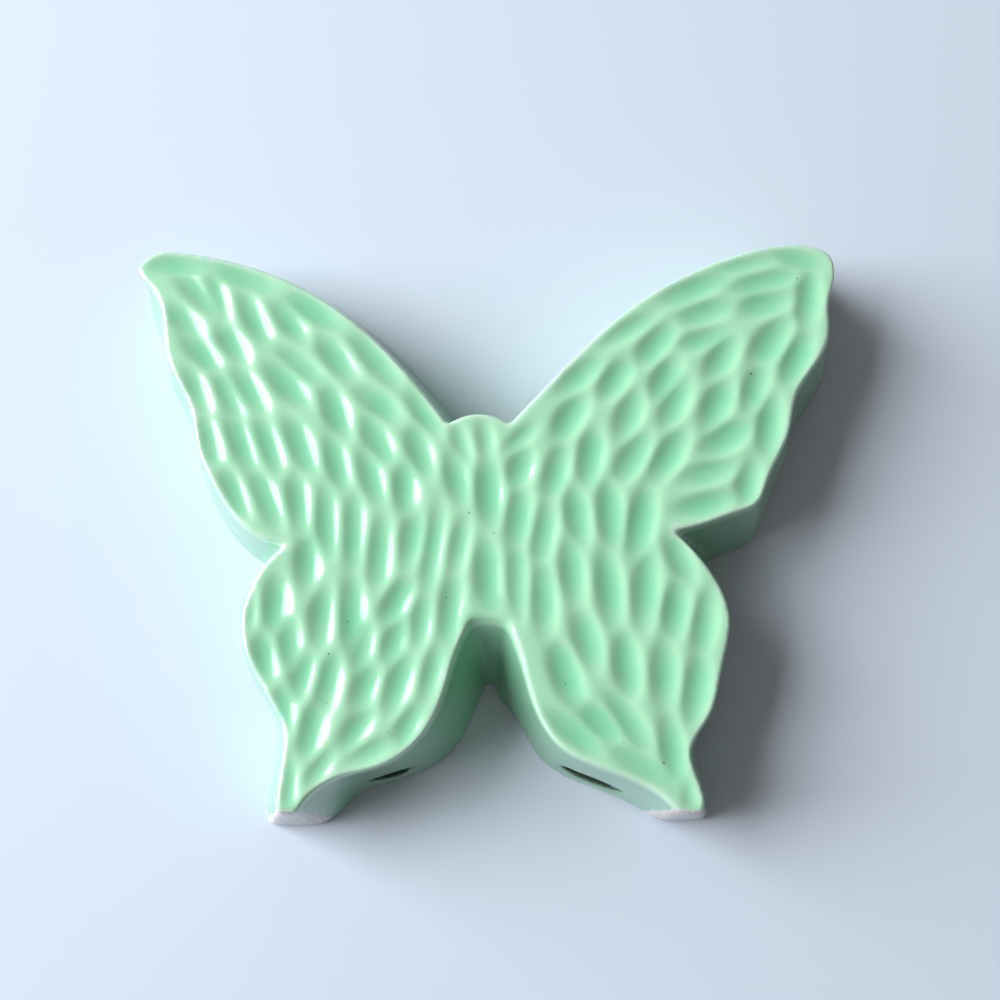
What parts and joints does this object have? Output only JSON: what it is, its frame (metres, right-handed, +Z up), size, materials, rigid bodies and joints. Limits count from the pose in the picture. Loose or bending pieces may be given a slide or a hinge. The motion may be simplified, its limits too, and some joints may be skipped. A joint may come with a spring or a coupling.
{
  "type": "butterfly ornament",
  "caption": "Hollow glazed ceramic butterfly with a hand-carved face, flared side walls, oval vent holes and a flat back to lie on.",
  "frame": {"origin": "middle of the flat back, on the surface that the ornament lies on", "axes": "+X to the viewer's right, along the wing span, +Y to the butterfly's head, +Z up out of the carved face"},
  "size_m": [0.1462, 0.1206, 0.0225],
  "materials": {
    "mint_glaze": "glossy translucent mint-green glaze",
    "fired_slip": "fired pale clay, unglazed inside"
  },
  "bodies": {
    "root": {"carved_shell": "mint_glaze", "slip_seam": "fired_slip", "back_slab": "mint_glaze"}
  },
  "joints": []
}
